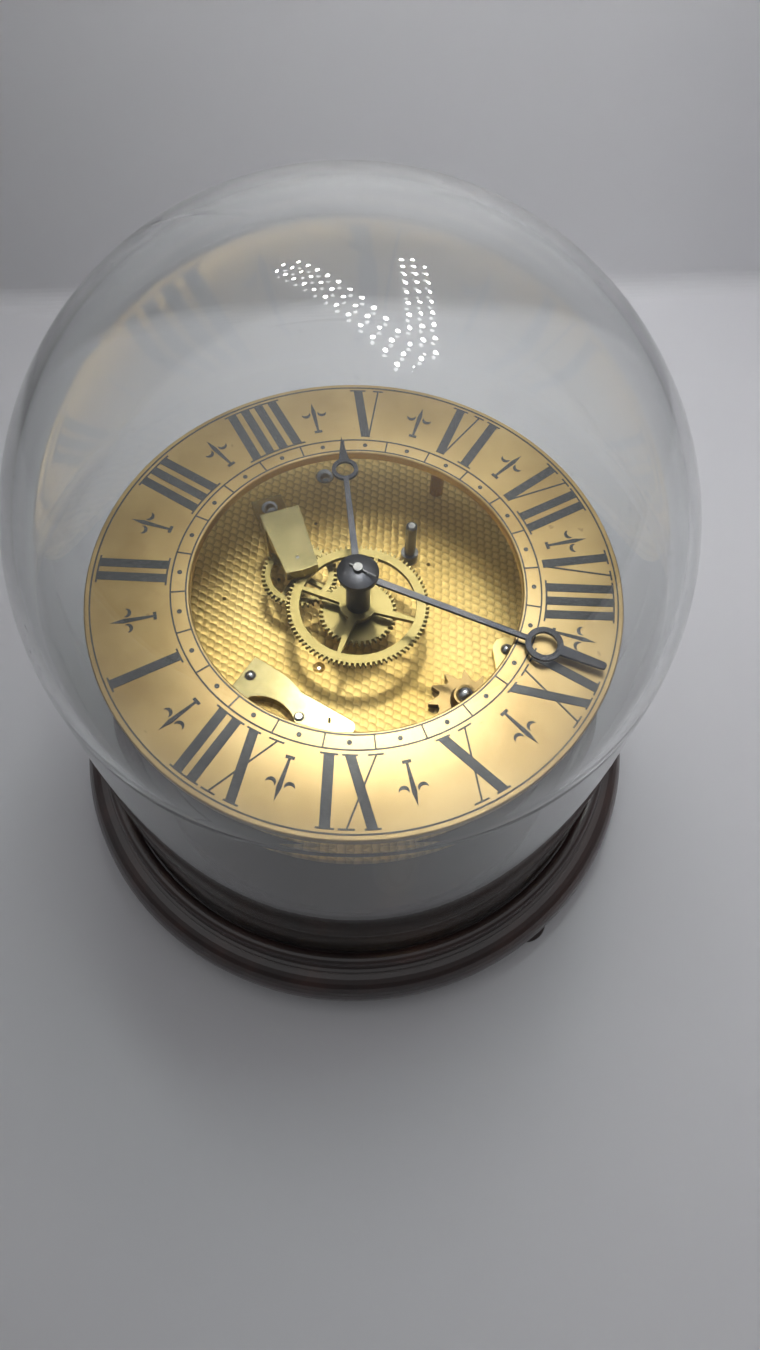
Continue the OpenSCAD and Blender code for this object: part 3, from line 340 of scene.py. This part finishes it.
def sheet_mesh():
    profile = [(d, 0.0) for d in (*SHEET_FRONT, BACK_DISTANCE - BEND)]
    for step in range(1, BEND_STEPS + 1):
        a = math.radians(step * BEND_STEP_DEGREES)
        profile.append((BACK_DISTANCE - BEND + BEND * math.sin(a), BEND * (1 - math.cos(a))))
    d, z = profile[-1]
    profile.append((d + WALL_RUN, z + WALL_RISE))
    across = Vector((-BACK_DIRECTION.y, BACK_DIRECTION.x, 0.0))
    verts = []
    for d, z in profile:
        for side in (-SHEET_HALF_WIDTH, SHEET_HALF_WIDTH):
            at = BACK_DIRECTION * d + across * side
            verts.append((at.x, at.y, z))
    faces = [(2 * k, 2 * k + 2, 2 * k + 3, 2 * k + 1) for k in range(len(profile) - 1)]
    mesh = bpy.data.meshes.new("floor")
    mesh.from_pydata(verts, [], faces)
    return mesh


def paper_and_painted_light():
    g = Graph.material("paper_and_painted_light")
    p = g.place()
    base = g.ramp(g.noise(p, 3.0), (0.3, (0.93, 0.93, 0.965)), (0.7, (1.0, 1.0, 1.03)))
    # Painted light and shade: the grey level below is painted, lighter to one side and darker
    # towards the camera; the noise above is the paper's own tone
    aside = g.vector("DOT_PRODUCT", p, LIT_SIDE)
    away = g.vector("DOT_PRODUCT", p, tuple(BACK_DIRECTION))
    level = g.math("MULTIPLY_ADD", aside, PAINTED_LIGHT_ASIDE, PAINTED_LIGHT_MIDDLE)
    level = g.math("MULTIPLY_ADD", away, PAINTED_LIGHT_AWAY, level)
    level = g.math("MAXIMUM", g.math("MINIMUM", level, PAINTED_LIGHT_MOST), PAINTED_LIGHT_LEAST)
    return g.end(g.surface(Base_Color=g.shade(base, level), Roughness=0.75))


floor = bpy.data.objects.new("floor", sheet_mesh())
bpy.context.scene.collection.objects.link(floor)
floor.data.materials.append(paper_and_painted_light())

# World: soft light from above, brighter on the backdrop's side
SKY_LEVELS = ((0.0, 0.18), (0.45, 0.26), (0.68, 0.42), (0.82, 0.62), (0.94, 0.80))
SKY_BLUE = 1.02
SKY_STRENGTH = 1.12
SKY_SIDE_GAIN, SKY_SIDE_MIDDLE, SKY_SIDE_LEAST = 0.85, 0.80, 0.34


def world_light():
    world = bpy.data.worlds.new("studio")
    bpy.context.scene.world = world
    world.use_nodes = True
    world.node_tree.nodes.clear()
    g = Graph(world.node_tree)
    way = g.add("TexCoord").outputs["Generated"]
    _, _, up = g.split(way)
    sky = g.ramp(up, *((at, (level, level, level * SKY_BLUE)) for at, level in SKY_LEVELS))
    side = g.vector("DOT_PRODUCT", way, tuple(BACK_DIRECTION))
    side = g.math("MULTIPLY_ADD", side, SKY_SIDE_GAIN, SKY_SIDE_MIDDLE, clamp=True)
    side = g.math("MAXIMUM", side, SKY_SIDE_LEAST)
    back = g.add("Background", Color=g.shade(sky, side), Strength=SKY_STRENGTH)
    g.feed(g.add("OutputWorld").inputs["Surface"], back.outputs[0])


def add_lamp(name, kind, at):
    lamp = bpy.data.objects.new(name, bpy.data.lights.new(name, kind))
    lamp.location = at
    bpy.context.scene.collection.objects.link(lamp)
    return lamp


# Two strips of small round lamps on the ceiling, which show in the glass as rows of dots
CEILING = 0.45
STRIP_WIDTH = 0.050
STRIP_POWER = 0.30
STRIP_ROWS = 3
ROW_SHIFT = 0.33
DOT_PITCH = 0.0235
DOT_RADIUS = 0.0029
DOT_GAIN = 18.0
STRIP_GLOW = 0.05


def led_strip(name, start, stop):
    start, stop = Vector((*start, CEILING)), Vector((*stop, CEILING))
    length = (stop - start).length
    strip = add_lamp(name, "AREA", (start + stop) / 2)
    strip.rotation_euler = (0, 0, math.atan2(stop.y - start.y, stop.x - start.x))
    data = strip.data
    data.energy = STRIP_POWER
    data.shape = "RECTANGLE"
    data.size = length
    data.size_y = STRIP_WIDTH
    data.use_nodes = True
    g = Graph(data.node_tree)
    u, v, _ = g.split(g.add("NewGeometry").outputs["Parametric"])
    row = g.math("MULTIPLY", v, float(STRIP_ROWS))
    shift = g.math("MULTIPLY", g.math("FLOOR", row), ROW_SHIFT)
    step = g.math("MULTIPLY_ADD", u, length / DOT_PITCH, shift)
    along = g.math("MULTIPLY", g.math("SUBTRACT", g.math("FRACT", step), 0.5), DOT_PITCH)
    across = g.math("SUBTRACT", g.math("FRACT", row), 0.5)
    across = g.math("MULTIPLY", across, STRIP_WIDTH / STRIP_ROWS)
    dot = g.math("LESS_THAN", g.vector("LENGTH", g.join(along, across, 0.0)), DOT_RADIUS)
    emission = next(node for node in data.node_tree.nodes if node.type == "EMISSION")
    g.feed(emission.inputs["Strength"], g.math("MULTIPLY_ADD", dot, DOT_GAIN, STRIP_GLOW))


# A small lamp beside the strips, kept to the dial's opening: it makes the bright disc on the plate
WELL_LAMP_AT = Vector((0.050, -0.105, 0.44))
WELL_LAMP_AIM = Vector((-0.006, 0.009, 0.105))


def well_lamp():
    lamp = add_lamp("well_lamp", "SPOT", WELL_LAMP_AT)
    lamp.rotation_euler = (WELL_LAMP_AIM - WELL_LAMP_AT).to_track_quat("-Z", "Y").to_euler()
    data = lamp.data
    data.energy = 3.8
    data.color = (1.0, 0.96, 0.88)
    data.spot_size = math.radians(17.5)
    data.spot_blend = 0.25
    data.shadow_soft_size = 0.012


world_light()
led_strip("strip_a", (0.224, -0.152), (-0.045, -0.060))
led_strip("strip_b", (0.075, -0.265), (-0.050, -0.075))
well_lamp()

# Camera: its place, direction and focal length were solved from the dial's dots
CAMERA_AT = (-0.083933, 0.130473, 0.345063)
FORWARD = Vector((0.20455, -0.42125, -0.88359))
LEVEL_RIGHT = Vector((-0.89956, -0.43680, 0.0))
ROLL = math.radians(5.763)
FOCAL_PX = 892.0
CENTRE_PX = (408.5, 684.5)
IMAGE_W, IMAGE_H = 760, 1350
SENSOR_MM = 36.0


def camera():
    level_up = LEVEL_RIGHT.cross(FORWARD)
    right = LEVEL_RIGHT * math.cos(ROLL) + level_up * math.sin(ROLL)
    up = level_up * math.cos(ROLL) - LEVEL_RIGHT * math.sin(ROLL)
    data = bpy.data.cameras.new("camera")
    data.sensor_width = SENSOR_MM
    data.lens = FOCAL_PX / IMAGE_H * SENSOR_MM
    data.shift_x = (IMAGE_W / 2 - CENTRE_PX[0]) / IMAGE_H
    data.shift_y = (CENTRE_PX[1] - IMAGE_H / 2) / IMAGE_H
    data.clip_start = 0.01
    made = bpy.data.objects.new("camera", data)
    made.matrix_world = Matrix((*zip(right, up, -FORWARD, CAMERA_AT), (0, 0, 0, 1)))
    bpy.context.scene.collection.objects.link(made)
    return made


bpy.context.scene.camera = camera()
bpy.context.scene.view_settings.view_transform = "Standard"
